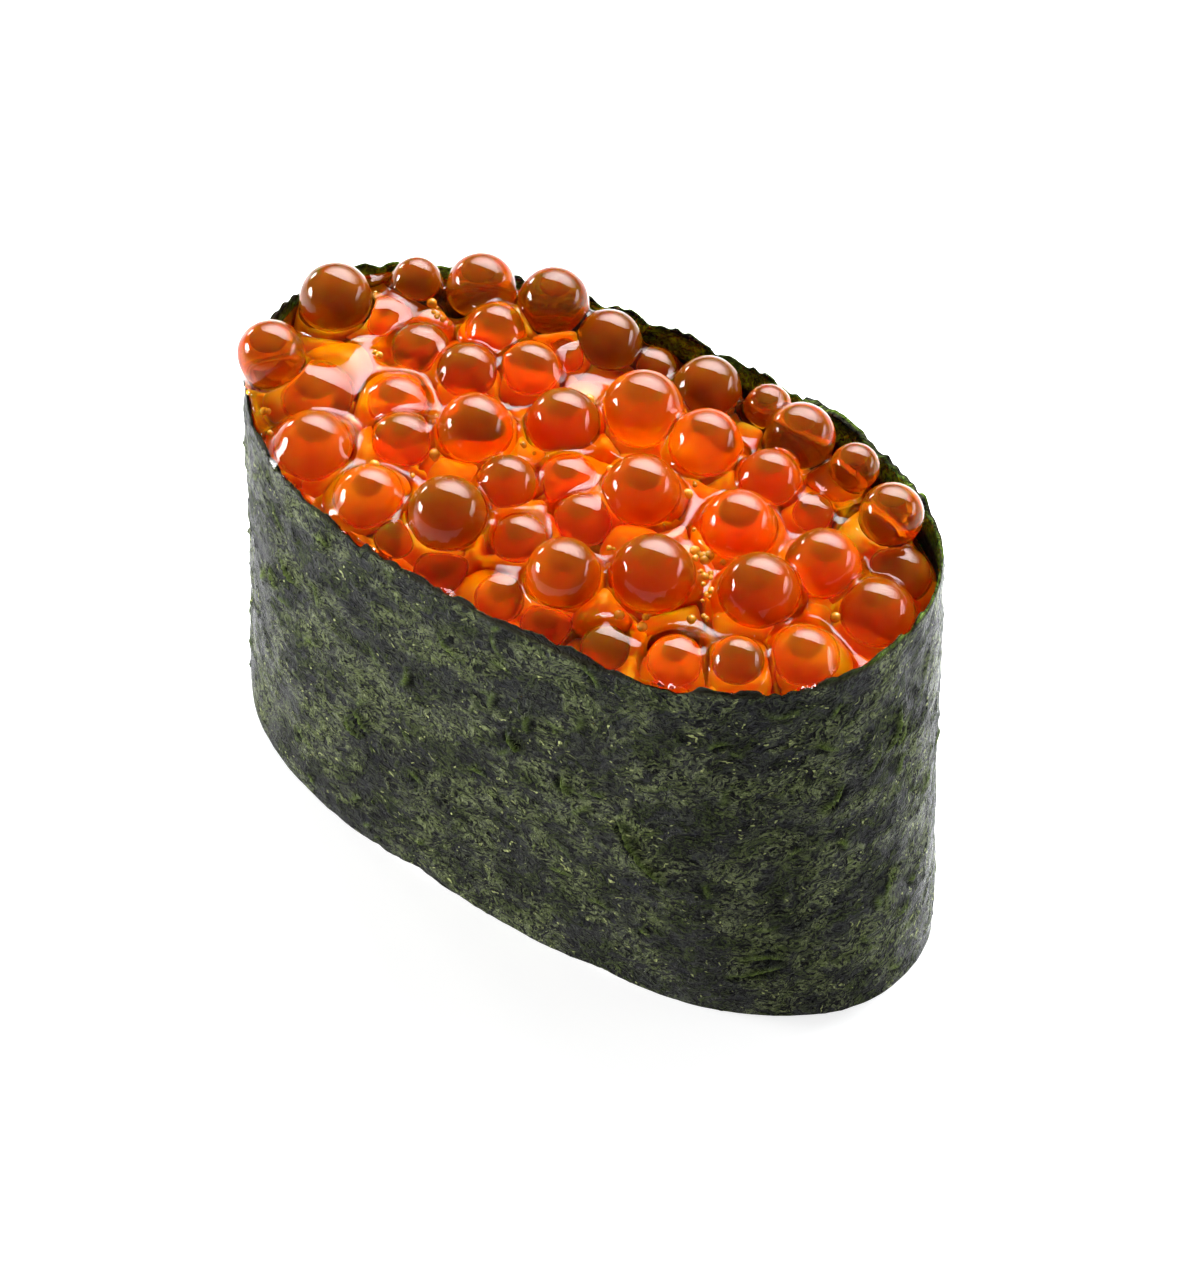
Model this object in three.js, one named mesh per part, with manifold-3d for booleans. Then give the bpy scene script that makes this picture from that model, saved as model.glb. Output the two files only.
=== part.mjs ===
// Gunkan sushi: an oval band of nori stood on edge, pressed rice in its lower part and a heap of salmon roe
// in its own thick liquid on top. Millimetres, +Z up, the length along X. The origin is the middle of the
// footprint, on the surface that the piece stands on.
import * as THREE from 'three';
import { mergeVertices } from 'three/addons/utils/BufferGeometryUtils.js';
import Module from 'manifold-3d';

const wasm = await Module();
wasm.setup();

// The band of nori
const BAND_HEIGHT = 31.2;
const BASE_HALF_LENGTH = 26.0;
const BASE_HALF_WIDTH = 11.8;
const RIM_HALF_LENGTH = 24.0;
const RIM_HALF_WIDTH = 13.5;
const RIM_LEAN = new THREE.Vector2(0.2, 0.2);
const BAND_THICKNESS = 0.5;
const OVAL_POWER = 2.36; // 2 is an ellipse, more is squarer

// Waves that make the hand-rolled oval uneven: how many in a turn, then the sizes of the cosine and the sine
const OVAL_WAVES = [
  [3, -0.2, 0.19],
  [4, 0, -0.11],
  [5, 0.03, 0.12],
];
const BULGE = 0.12; // low swells that run up the band
const RIM_WAVE = 0.15; // how far the rim rises and falls
const RIM_PEAK = 0.5; // the one place where the rim stands higher, at the front
const RIM_PEAK_TURN = 0.79;
const RIM_PEAK_SPREAD = 0.02;
const FOOT_LIFTS = [
  // where the lower edge stands off the surface: turn, height, spread
  [0.725, 0.5, 0.02],
  [0.8, 0.4, 0.015],
  [0.3, 0.4, 0.03],
];

// The strip's outer end overlaps its inner end at the back
const SEAM_TURN = 0.21;
const SEAM_STEP = 0.35;
const SEAM_RAMP = 0.14; // share of a turn over which the overlapping end comes away from the band

// Rice
const GAP = 0.3; // between neighbouring solids
const RICE_HEIGHT = 18.5;
const RICE_FOOT = 0.6; // the plain block starts here, and the grains reach down from it
const GRAIN_LENGTH = 6.0;
const GRAIN_WIDTH = 2.7;
const GRAIN_THICKNESS = 2.4;
const GRAIN_LIFT = 0.7; // centre of a grain, so that its underside is pressed flat
const GRAIN_PITCH_X = 5.4;
const GRAIN_PITCH_Y = 3.0;
const GRAIN_EDGE = 0.86; // share of the oval that the grains' centres keep to

// Roe: the liquid's level under the rim, deeper along the back right
const MIDDLE_RISE = 0.4;
const LEVEL_DROP = 0.5;
const BACK_DROP = 2.5;
const BACK_DIRECTION = Math.PI / 3;

// Each egg: x, y, diameter, height of its centre over the rim, row by row from the back
const EGGS = [
  [6.4, 11.3, 3.0, 0.0], [2.2, 10.7, 4.3, -0.3], [-2.2, 11.2, 2.8, -1.5], [-5.2, 10.4, 4.2, -0.1],
  [-9.3, 10.1, 4.5, 1.4], [-14.0, 8.7, 4.4, 1.2], [-18.2, 7.4, 3.1, 0.4],
  [-20.9, 2.4, 4.6, 1.3], [-18.2, 4.2, 3.3, -0.9], [-11.2, 6.4, 3.7, 0.6], [-6.7, 7.7, 2.5, -0.3],
  [0.7, 5.7, 5.1, 1.1], [5.5, 5.7, 4.5, 0.9], [9.7, 10.0, 4.4, 0.4], [14.0, 9.6, 3.1, 0.6],
  [10.2, 5.8, 3.8, 0.5], [12.5, 9.0, 3.5, -2.1], [13.3, 5.9, 2.7, -1.0], [18.2, 7.3, 4.0, 0.9],
  [20.1, 5.4, 3.9, -1.8], [-14.5, 2.8, 3.6, -0.2], [-10.6, 2.6, 3.7, 0.4], [-7.6, 5.2, 3.7, 0.2],
  [-20.7, -4.5, 4.3, 2.0], [-17.7, -3.8, 4.7, -1.0], [-12.9, -1.8, 3.6, -0.3], [-6.8, -1.8, 4.6, 1.2],
  [-2.6, 1.8, 4.5, 1.2], [0.0, -1.4, 3.6, 0.0], [4.7, -0.2, 4.7, 1.2], [11.1, 1.1, 4.6, 0.9],
  [16.8, 1.9, 4.5, 0.3], [21.0, 1.5, 4.5, -1.2], [-14.8, -8.0, 4.7, 0.0], [-10.5, -4.4, 3.7, 0.0],
  [-9.2, -9.6, 4.3, 0.1], [-4.0, -8.5, 4.8, 1.0], [-2.5, -4.3, 3.6, 1.0], [2.7, -3.5, 3.6, 0.0],
  [0.4, -7.0, 3.4, -0.1], [4.8, -8.6, 4.5, 1.2], [9.2, -5.4, 5.0, 1.1], [15.1, -2.6, 4.8, 0.8],
  [19.8, -4.6, 4.0, -0.4], [-6.2, -10.9, 2.7, -0.8], [-3.0, -10.5, 3.7, -2.4], [1.8, -10.8, 3.4, -1.4],
  [5.1, -10.7, 3.4, -1.8], [9.3, -10.5, 3.1, -1.3], [13.6, -9.3, 3.4, -0.7], [17.0, -7.7, 3.1, 0.3],
];
const LARGE_EGG = 4.3; // from this diameter an egg gets the finer sphere
const EGG_FLATTENING = 0.96;
const EGG_HOLD = 0.4; // an egg that dips less than this into the liquid rests on one below it
const SUPPORT_DROP = 0.75; // how far that one lies below, in diameters
const SUPPORT_INWARD = 0.92; // and its place, as a share of the way out from the middle

// What brings the middle of the whole piece onto the origin
const MIDDLE_OF_FOOTPRINT = new THREE.Vector3(0.19, -0.24, 0);

// How finely the bodies are divided
const BAND_SEGMENTS = 80;
const BAND_ROWS = 6;
const FILLING_SEGMENTS = 48;
const FILLING_SIDE_ROWS = 3;
const POOL_RINGS = 5;
const RICE_TOP_RINGS = 2;

const NORI = new THREE.MeshStandardMaterial({ color: 0x1c2619, roughness: 0.55, metalness: 0 });
const RICE = new THREE.MeshStandardMaterial({ color: 0xe9e4d6, roughness: 0.5, metalness: 0 });
const ROE = new THREE.MeshStandardMaterial({ color: 0xd2410a, roughness: 0.12, metalness: 0 });

const lerp = THREE.MathUtils.lerp;

// One swell round the place where a turn is, 1 in its middle and near 0 outside its spread
function swell(turn, middle, spread) {
  const away = Math.abs(turn - middle);
  const distance = Math.min(away, 1 - away) / spread;
  return Math.exp(-distance * distance);
}

function rimHeight(turn) {
  const angle = 2 * Math.PI * turn;
  const waves = 0.5 * Math.sin(3 * angle + 1) + 0.3 * Math.sin(7 * angle) + 0.2 * Math.sin(16 * angle + 2);
  return BAND_HEIGHT + RIM_WAVE * waves + RIM_PEAK * swell(turn, RIM_PEAK_TURN, RIM_PEAK_SPREAD);
}

function footHeight(turn) {
  let height = 0;
  for (const [middle, lift, spread] of FOOT_LIFTS) {
    height += lift * swell(turn, middle, spread);
  }
  return height > 0.02 ? height : 0; // flat on the surface between the lifts
}

function ovalPoint(turn, halfLength, halfWidth) {
  const power = 2 / OVAL_POWER;
  const cosine = Math.cos(2 * Math.PI * turn);
  const sine = Math.sin(2 * Math.PI * turn);
  const x = halfLength * Math.sign(cosine) * Math.abs(cosine) ** power;
  const y = halfWidth * Math.sign(sine) * Math.abs(sine) ** power;
  return new THREE.Vector2(x, y);
}

// The band's plan at a share of its height, pushed outward by some millimetres
function bandPlan(turn, share, outward) {
  const halfLength = lerp(BASE_HALF_LENGTH, RIM_HALF_LENGTH, share);
  const halfWidth = lerp(BASE_HALF_WIDTH, RIM_HALF_WIDTH, share);
  const step = 0.001;
  const point = ovalPoint(turn, halfLength, halfWidth);
  const along = ovalPoint(turn + step, halfLength, halfWidth).sub(ovalPoint(turn - step, halfLength, halfWidth));
  const normal = new THREE.Vector2(along.y, -along.x).normalize();
  const angle = 2 * Math.PI * turn;
  let push = outward + BULGE * Math.sin(6 * angle + 5 * share) * Math.sin(Math.PI * share);
  for (const [count, cosine, sine] of OVAL_WAVES) {
    push += cosine * Math.cos(count * angle) + sine * Math.sin(count * angle);
  }
  return point.addScaledVector(normal, push).addScaledVector(RIM_LEAN, share);
}

// How far the overlapping end stands off: it grows towards the seam and drops to nothing behind it
function seamOffset(turn) {
  const behind = THREE.MathUtils.euclideanModulo(SEAM_TURN - turn, 1);
  return SEAM_STEP * Math.max(0, 1 - behind / SEAM_RAMP) ** 0.5;
}

function meshGeometry(points, triangles) {
  const geometry = new THREE.BufferGeometry();
  geometry.setAttribute('position', new THREE.Float32BufferAttribute(points.flat(), 3));
  geometry.setIndex(triangles);
  return geometry;
}

// Triangles between two rings of points that follow each other
function stitch(triangles, first, second, count) {
  for (let i = 0; i < count; i += 1) {
    const next = (i + 1) % count;
    triangles.push(first + i, first + next, second + next);
    triangles.push(first + i, second + next, second + i);
  }
}

// The closed ring of the band: up the outside, over the rim, down the inside
function bandGeometry() {
  const points = [];
  const triangles = [];
  const profile = [];
  for (let row = 0; row <= BAND_ROWS; row += 1) {
    profile.push([row / BAND_ROWS, 0]);
  }
  for (let row = BAND_ROWS; row >= 0; row -= 1) {
    profile.push([row / BAND_ROWS, -BAND_THICKNESS]);
  }
  for (const [share, inward] of profile) {
    for (let i = 0; i < BAND_SEGMENTS; i += 1) {
      // the first point lies just behind the seam and the last one just before it
      const turn = SEAM_TURN + (i + 0.02) / (BAND_SEGMENTS - 0.96);
      const place = THREE.MathUtils.euclideanModulo(turn, 1);
      const outward = inward < 0 ? inward : seamOffset(place);
      const plan = bandPlan(place, share, outward);
      points.push([plan.x, plan.y, lerp(footHeight(place), rimHeight(place), share)]);
    }
  }
  for (let row = 0; row < profile.length; row += 1) {
    const next = (row + 1) % profile.length;
    stitch(triangles, row * BAND_SEGMENTS, next * BAND_SEGMENTS, BAND_SEGMENTS);
  }
  return meshGeometry(points, triangles);
}

// A body that fills the band's inside, from a flat underside up to a top surface
function fillingGeometry(bottom, topAt, topRings) {
  const inset = -(BAND_THICKNESS + GAP);
  const profile = [[0.5, 'bottom']];
  for (let row = 0; row <= FILLING_SIDE_ROWS; row += 1) {
    profile.push([1, row / FILLING_SIDE_ROWS]);
  }
  for (let ring = topRings - 1; ring > 0; ring -= 1) {
    profile.push([ring / topRings, 'top']);
  }
  const points = [[0, 0, bottom]];
  for (const [size, level] of profile) {
    for (let i = 0; i < FILLING_SEGMENTS; i += 1) {
      const turn = i / FILLING_SEGMENTS;
      const rim = bandPlan(turn, 1, inset);
      const topHeight = topAt(rim.x * size, rim.y * size);
      let height = topHeight;
      if (level === 'bottom') {
        height = bottom;
      } else if (level !== 'top') {
        height = lerp(bottom, topHeight, level);
      }
      const plan = bandPlan(turn, height / BAND_HEIGHT, inset);
      points.push([plan.x * size, plan.y * size, height]);
    }
  }
  points.push([0, 0, topAt(0, 0)]);
  const triangles = [];
  const last = 1 + (profile.length - 1) * FILLING_SEGMENTS;
  for (let i = 0; i < FILLING_SEGMENTS; i += 1) {
    const next = (i + 1) % FILLING_SEGMENTS;
    triangles.push(0, 1 + next, 1 + i);
    triangles.push(last + i, last + next, points.length - 1);
  }
  for (let row = 0; row < profile.length - 1; row += 1) {
    stitch(triangles, 1 + row * FILLING_SEGMENTS, 1 + (row + 1) * FILLING_SEGMENTS, FILLING_SEGMENTS);
  }
  return meshGeometry(points, triangles);
}

function toSolid(geometry) {
  const plain = geometry.clone();
  plain.deleteAttribute('normal');
  plain.deleteAttribute('uv');
  const merged = mergeVertices(plain);
  const vertProperties = new Float32Array(merged.attributes.position.array);
  const triVerts = new Uint32Array(merged.index.array);
  return new wasm.Manifold(new wasm.Mesh({ numProp: 3, vertProperties, triVerts }));
}

function fromSolid(solid) {
  const mesh = solid.getMesh();
  const geometry = new THREE.BufferGeometry();
  geometry.setAttribute('position', new THREE.BufferAttribute(mesh.vertProperties, 3));
  geometry.setIndex(new THREE.BufferAttribute(mesh.triVerts, 1));
  geometry.computeVertexNormals();
  return geometry;
}

function ovalShare(x, y, halfLength, halfWidth) {
  return (Math.abs(x / halfLength) ** OVAL_POWER + Math.abs(y / halfWidth) ** OVAL_POWER) ** (1 / OVAL_POWER);
}

// Height of the liquid at a place in the plan
function liquidLevel(x, y) {
  const share = Math.min(1, ovalShare(x, y, RIM_HALF_LENGTH, RIM_HALF_WIDTH));
  const direction = Math.atan2(y / RIM_HALF_WIDTH, x / RIM_HALF_LENGTH);
  const drop = LEVEL_DROP + BACK_DROP * Math.max(0, Math.cos(direction - BACK_DIRECTION));
  return BAND_HEIGHT + MIDDLE_RISE * (1 - share ** 2) - drop * share ** 3;
}

// A cooked grain lying down, its underside pressed flat where the piece stands
function grainGeometry(x, y, heading) {
  const grain = new THREE.OctahedronGeometry(1, 1);
  grain.scale(GRAIN_LENGTH / 2, GRAIN_WIDTH / 2, GRAIN_THICKNESS / 2);
  grain.rotateZ(heading);
  grain.translate(x, y, GRAIN_LIFT);
  const position = grain.attributes.position;
  for (let i = 0; i < position.count; i += 1) {
    position.setZ(i, Math.max(0, position.getZ(i)));
  }
  return grain;
}

// Rows of grains over the underside, each turned a little by a fixed rule. One lies at the origin.
function riceGeometry() {
  let rice = toSolid(fillingGeometry(RICE_FOOT, () => RICE_HEIGHT, RICE_TOP_RINGS));
  const rows = Math.ceil(BASE_HALF_WIDTH / GRAIN_PITCH_Y);
  const columns = Math.ceil(BASE_HALF_LENGTH / GRAIN_PITCH_X) + 1;
  for (let row = -rows; row <= rows; row += 1) {
    for (let column = -columns; column <= columns; column += 1) {
      const x = (column + 0.5 * Math.abs(row % 2)) * GRAIN_PITCH_X;
      const y = row * GRAIN_PITCH_Y;
      const heading = 0.9 * Math.sin(5 * row + 3 * column) * Math.min(1, Math.abs(row) + Math.abs(column));
      if (ovalShare(x, y, BASE_HALF_LENGTH, BASE_HALF_WIDTH) < GRAIN_EDGE) {
        rice = rice.add(toSolid(grainGeometry(x, y, heading)));
      }
    }
  }
  return fromSolid(rice);
}

function eggGeometry([x, y, diameter, overRim], index) {
  const detail = diameter < LARGE_EGG ? 1 : 2;
  const egg = new THREE.IcosahedronGeometry(diameter / 2, detail);
  egg.scale(1, 1, EGG_FLATTENING);
  egg.rotateZ(index);
  egg.translate(x, y, BAND_HEIGHT + overRim);
  return egg;
}

// The eggs that show, and under each that stands clear of the liquid the one that carries it
function heapedEggs() {
  const eggs = [];
  for (const [x, y, diameter, overRim] of EGGS) {
    eggs.push([x, y, diameter, overRim]);
    const dip = liquidLevel(x, y) - (BAND_HEIGHT + overRim - diameter / 2);
    if (dip < EGG_HOLD) {
      eggs.push([x * SUPPORT_INWARD, y * SUPPORT_INWARD, diameter, overRim - SUPPORT_DROP * diameter]);
    }
  }
  return eggs;
}

// The heap: the liquid down to the rice, with the eggs fused on
function roeGeometry() {
  let roe = toSolid(fillingGeometry(RICE_HEIGHT + GAP, liquidLevel, POOL_RINGS));
  heapedEggs().forEach((egg, index) => {
    roe = roe.add(toSolid(eggGeometry(egg, index)));
  });
  return fromSolid(roe);
}

function part(name, geometry, material) {
  const mesh = new THREE.Mesh(geometry, material);
  mesh.name = name;
  return mesh;
}

const gunkan = new THREE.Group();
gunkan.position.copy(MIDDLE_OF_FOOTPRINT);
gunkan.add(part('nori', bandGeometry(), NORI));
gunkan.add(part('rice', riceGeometry(), RICE));
gunkan.add(part('roe', roeGeometry(), ROE));

export default gunkan;
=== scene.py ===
"""Gunkan sushi with salmon roe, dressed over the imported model.

The plan of the nori band, the liquid's level and the eggs' places repeat the model's own rules, in
millimetres. Everything becomes metres where the mesh is made.
"""

import itertools
import math

import bmesh
import bpy
import numpy as np
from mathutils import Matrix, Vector


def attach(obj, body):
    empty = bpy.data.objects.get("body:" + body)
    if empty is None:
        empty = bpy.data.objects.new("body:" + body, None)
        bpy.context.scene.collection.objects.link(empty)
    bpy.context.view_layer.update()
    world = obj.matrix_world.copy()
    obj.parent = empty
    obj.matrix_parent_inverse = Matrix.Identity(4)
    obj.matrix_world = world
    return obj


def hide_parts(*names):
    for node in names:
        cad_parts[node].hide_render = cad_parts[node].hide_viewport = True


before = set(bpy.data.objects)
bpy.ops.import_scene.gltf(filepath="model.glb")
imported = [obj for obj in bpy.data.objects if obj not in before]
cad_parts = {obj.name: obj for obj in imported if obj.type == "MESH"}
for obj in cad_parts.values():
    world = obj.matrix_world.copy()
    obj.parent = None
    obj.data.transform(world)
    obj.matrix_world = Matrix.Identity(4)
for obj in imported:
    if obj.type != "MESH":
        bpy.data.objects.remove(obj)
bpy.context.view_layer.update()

MM = 0.001

# ---- Sizes that repeat the model's, in millimetres ----
BAND_HEIGHT = 31.2
BASE_HALF_LENGTH = 26.0
BASE_HALF_WIDTH = 11.8
RIM_HALF_LENGTH = 24.0
RIM_HALF_WIDTH = 13.5
RIM_LEAN = (0.2, 0.2)
OVAL_POWER = 2.36
OVAL_WAVES = ((3, -0.2, 0.19), (4, 0.0, -0.11), (5, 0.03, 0.12))  # waves in a turn, cosine, sine
BULGE = 0.12
BULGE_COUNT = 6
BULGE_TWIST = 5
RIM_WAVE = 0.15
RIM_WAVES = ((3, 1, 0.5), (7, 0, 0.3), (16, 2, 0.2))  # waves in a turn, start, share
RIM_PEAK = 0.5
RIM_PEAK_TURN = 0.79
RIM_PEAK_SPREAD = 0.02
FOOT_LIFTS = ((0.725, 0.5, 0.02), (0.8, 0.4, 0.015), (0.3, 0.4, 0.03))  # turn, height, spread
LEAST_FOOT_LIFT = 0.02
SEAM_TURN = 0.21
SEAM_STEP = 0.35
SEAM_RAMP = 0.14
RICE_HEIGHT = 18.5
GRAIN_LENGTH = 6.0
GRAIN_WIDTH = 2.7
GRAIN_THICKNESS = 2.4
GRAIN_PITCH_X = 5.4
GRAIN_PITCH_Y = 3.0
GRAIN_EDGE = 0.86
MIDDLE_RISE = 0.4
LEVEL_DROP = 0.5
BACK_DROP = 2.5
BACK_DIRECTION = math.pi / 3
MIDDLE_OF_FOOTPRINT = np.array([0.19, -0.24, 0.0])

# Each egg that shows: x, y, diameter, height of its centre over the rim
EGGS = (
    (6.4, 11.3, 3.0, 0.0), (2.2, 10.7, 4.3, -0.3), (-2.2, 11.2, 2.8, -1.5), (-5.2, 10.4, 4.2, -0.1),
    (-9.3, 10.1, 4.5, 1.4), (-14.0, 8.7, 4.4, 1.2), (-18.2, 7.4, 3.1, 0.4),
    (-20.9, 2.4, 4.6, 1.3), (-18.2, 4.2, 3.3, -0.9), (-11.2, 6.4, 3.7, 0.6), (-6.7, 7.7, 2.5, -0.3),
    (0.7, 5.7, 5.1, 1.1), (5.5, 5.7, 4.5, 0.9), (9.7, 10.0, 4.4, 0.4), (14.0, 9.6, 3.1, 0.6),
    (10.2, 5.8, 3.8, 0.5), (12.5, 9.0, 3.5, -2.1), (13.3, 5.9, 2.7, -1.0), (18.2, 7.3, 4.0, 0.9),
    (20.1, 5.4, 3.9, -1.8), (-14.5, 2.8, 3.6, -0.2), (-10.6, 2.6, 3.7, 0.4), (-7.6, 5.2, 3.7, 0.2),
    (-20.7, -4.5, 4.3, 2.0), (-17.7, -3.8, 4.7, -1.0), (-12.9, -1.8, 3.6, -0.3), (-6.8, -1.8, 4.6, 1.2),
    (-2.6, 1.8, 4.5, 1.2), (0.0, -1.4, 3.6, 0.0), (4.7, -0.2, 4.7, 1.2), (11.1, 1.1, 4.6, 0.9),
    (16.8, 1.9, 4.5, 0.3), (21.0, 1.5, 4.5, -1.2), (-14.8, -8.0, 4.7, 0.0), (-10.5, -4.4, 3.7, 0.0),
    (-9.2, -9.6, 4.3, 0.1), (-4.0, -8.5, 4.8, 1.0), (-2.5, -4.3, 3.6, 1.0), (2.7, -3.5, 3.6, 0.0),
    (0.4, -7.0, 3.4, -0.1), (4.8, -8.6, 4.5, 1.2), (9.2, -5.4, 5.0, 1.1), (15.1, -2.6, 4.8, 0.8),
    (19.8, -4.6, 4.0, -0.4), (-6.2, -10.9, 2.7, -0.8), (-3.0, -10.5, 3.7, -2.4), (1.8, -10.8, 3.4, -1.4),
    (5.1, -10.7, 3.4, -1.8), (9.3, -10.5, 3.1, -1.3), (13.6, -9.3, 3.4, -0.7), (17.0, -7.7, 3.1, 0.3),
)
EGG_FLATTENING = 0.96
EGG_HOLD = 0.4  # an egg that dips less than this into the liquid stands on another egg
SUPPORT_DROP = 0.75  # in diameters, from an egg to the one that carries it
SUPPORT_INWARD = 0.92

# ---- Sizes of the dressing, in millimetres ----
RUN_LEVEL = 0.6  # share of the band's height at which the strip's length is measured
RUN_STEPS = 4001
WALL_STEPS = 721
WALL_LOW = 0.7  # share of the band's height from which its inner face is followed
WALL_SPAN = 0.3
WALL_SHARE = 0.8  # turns the reach from the middle into about the distance from the wall

SHEET_THICKNESS = 0.28
SHEET_TURN_STEPS = 640
SHEET_SEAM_START = 0.02  # the first column of points starts this far past the seam, in columns
SHEET_SEAM_LOSS = 0.96  # the last column stops this far short of a whole turn's columns
SHEET_OUTER_ROWS = 126
SHEET_INNER_ROWS = 24
SHEET_INNER_POWER = 1.8  # draws the inner face's rows towards the rim
SHEET_SWELLS = ((0.11, 6.5), (0.08, 2.4), (0.055, 1.1), (0.03, 0.55))  # height and cell of each layer
WRINKLE = 0.10
WRINKLE_CELL = 2.0
WRINKLE_POWER = 8
RIM_TEETH = ((0.34, 1.1), (0.20, 0.5), (0.12, 3.0))  # height and cell of each layer
RIM_FADE = 16  # how fast the relief comes up away from the rim, and from the foot
FOOT_FADE = 12
EDGE_RELIEF = 0.3  # share of the relief that is left at the edges
EDGE_ROUNDING = 0.05
EDGE_THICKNESS = 0.72  # share of the sheet's thickness that is left at the edges
INNER_RELIEF = 0.4  # share of the swells that shows on the inner face

# Curled lips that stand out on the strip: place along it and height, size, heading, bend, lift
CURLS = (
    (51.2, 14.2, 7.0, -1.05, 0.25, 0.45), (42.6, 20.2, 2.2, -0.9, 0.8, 0.34),
    (46.2, 18.3, 2.0, -1.4, 0.5, 0.3), (39.6, 14.8, 1.8, 0.2, -0.9, 0.2),
    (64.2, 20.6, 3.0, 1.0, 0.4, 0.28), (57.0, 26.4, 1.8, 0.4, -0.9, 0.22),
    (58.6, 4.3, 4.4, 0.4, 0.1, 0.22), (59.0, 5.9, 3.2, 0.1, -0.2, 0.2),
    (30.0, 12.6, 2.4, -0.7, -0.6, 0.24), (23.4, 21.6, 3.0, -0.4, 0.7, 0.28),
    (27.5, 28.7, 1.8, -0.2, -0.8, 0.24), (28.9, 11.2, 2.2, -0.8, 0.5, 0.22),
    (48.3, 7.3, 1.8, 0.1, -0.9, 0.18), (37.8, 26.2, 2.4, -0.7, 0.5, 0.2),
    (21.1, 19.6, 2.0, -1.1, 0.6, 0.24), (25.6, 17.0, 1.8, 0.3, -0.8, 0.2),
    (69.0, 24.0, 3.6, 1.1, 0.3, 0.3), (68.0, 10.4, 3.2, 1.0, -0.3, 0.26),
)
CURLS_START = 0.42  # turn from which the list's places count
CURL_COUNT = 130
CURL_MARGIN = 0.8
CURL_SIZES = (0.8, 2.6)
CURL_HEADING = 1.4
CURL_BEND = 0.9
CURL_LIFTS = (0.06, 0.16)
RIDGE_PLACE = 0.22  # across the lip's line, as are the trench's place and the flap's start
TRENCH_PLACE = -0.15
FLAP_START = 0.2
FLAP_PEAK = 0.3
FLAP_FADE = 0.35  # in the lip's sizes
CURL_WIDTH = 0.2
TRENCH_SHARE = 1.1  # of the lip's lift, as is the flap's
FLAP_SHARE = 0.5
FULL_MARK_LIFT = 0.14  # lips this high or higher get their painted highlight and painted shade in full

SKIN_CELL = 0.2  # grid that the wet surface is found on
SKIN_INSET = 0.34  # from the band's outer face
SKIN_BOTTOM = 24.6
SKIN_ROOM = (1.2, 0.8, 0.5, 5.0)  # of the grid past the rim's length and width, below and above
SKIN_DROP = 0.5  # the liquid sinks this far between the places where it climbs
EGG_FILLET = 0.9  # film between touching eggs
LIQUID_FILLET = 2.5  # how the liquid climbs the eggs
EGG_REACH = 2.0  # farther than this from an egg its distance shapes nothing
WALL_CLIMB = 0.35
WALL_CLIMB_REACH = 0.6
WALL_FILLET = 0.15
FREE_FROM = 0.3  # the wall stops holding the eggs in this far under the rim
FREE_SLOPE = 3
POOLS = (  # open places where the liquid stands flat and higher: x, y, spread, rise
    (-17.4, -0.2, 2.2, 0.75), (0.3, 1.1, 1.3, 0.4), (7.7, 3.4, 1.5, 0.5),
    (12.5, 4.7, 1.4, 0.5), (5.1, 9.5, 1.4, 0.4),
)
MEMBRANE = 0.14  # liquid over an egg's own surface
INNER_SUPPORT_DROP = 0.99  # a carrying egg's own ball lies lower than its place in the wet surface
FREE_EGG_HEIGHT = 1.6  # eggs whose centres stand this far over the liquid have a tint of their own
DROPLET_SHARE = 0.46  # radius of an egg's oil droplet, as a share of the egg's
DROPLET_SPREAD = (0.85, 1.15)
DROPLET_SHIFT = 0.1  # off the egg's axis, as a share of its radius
DROPLET_HEIGHT = 0.70
DROPLET_FLATNESS = 0.38
DROPLET_DROOP = 0.35
SUNKEN_TRIES = 900
SUNKEN_RADII = (1.6, 2.35)
SUNKEN_MARGIN = 0.4  # from the rim
SUNKEN_SPREAD = 0.9
SUNKEN_DEPTH = 4.6  # lowest centre, under the liquid's level
SUNKEN_TOP = -0.2  # height of the highest sunken eggs' tops over the liquid's level
SUNKEN_TOUCH = 0.93  # least distance between eggs, as a share of their radii's sum
BED_DEPTH = 2.2
BED_EGG = 2.25  # radius of the eggs of the next layer
BED_PITCH = 4.2
BED_ROW_STEP = 0.866  # in pitches
BED_ROWS = range(-5, 6)
BED_COLUMNS = range(-8, 9)
BED_JITTER = 0.5
BED_FLOOR = 0.9  # of the next layer's eggs' radius under their tops
BED_CLEARANCE = 1.02  # of the eggs above, in their radii
BED_BOTTOM = RICE_HEIGHT + 0.3
BED_INSET = SKIN_INSET + 0.25
BED_LEVEL = 0.9  # share of the band's height whose plan the bed's rings follow
BED_TURNS = 180
BED_RINGS = 48
BUBBLE_CLUSTERS = (  # x, y, spread, how many
    (8.6, -7.5, 0.6, 10), (10.4, -7.2, 0.6, 10), (12.0, -4.6, 0.7, 16), (10.8, -1.8, 0.4, 7),
    (-0.7, 3.5, 0.5, 9), (-7.5, 10.5, 0.4, 6), (-16.1, 7.0, 0.4, 7), (-15.2, 6.0, 0.3, 5),
    (-8.1, -4.5, 0.3, 4), (5.9, -0.6, 0.3, 4), (4.9, 4.7, 0.4, 7), (-1.3, -8.6, 0.4, 6),
)
STRAY_BUBBLES = 90  # places of one to three
STRAY_MARGIN = 3
STRAY_SPREAD = 0.3
BUBBLE_SMALLEST = 0.13
BUBBLE_LARGEST = 0.36
BUBBLE_SPREAD = 0.5
BUBBLE_SINK = 0.15  # how far a bubble's centre lies under the surface, in its radii
SURFACE_SEARCH = (-1.5, 3.0, 91)  # lowest and highest over the liquid's level, and how many heights
CREVICE_TOP = 0.35  # the wet surface is lower than this over the liquid's level in a crevice

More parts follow.
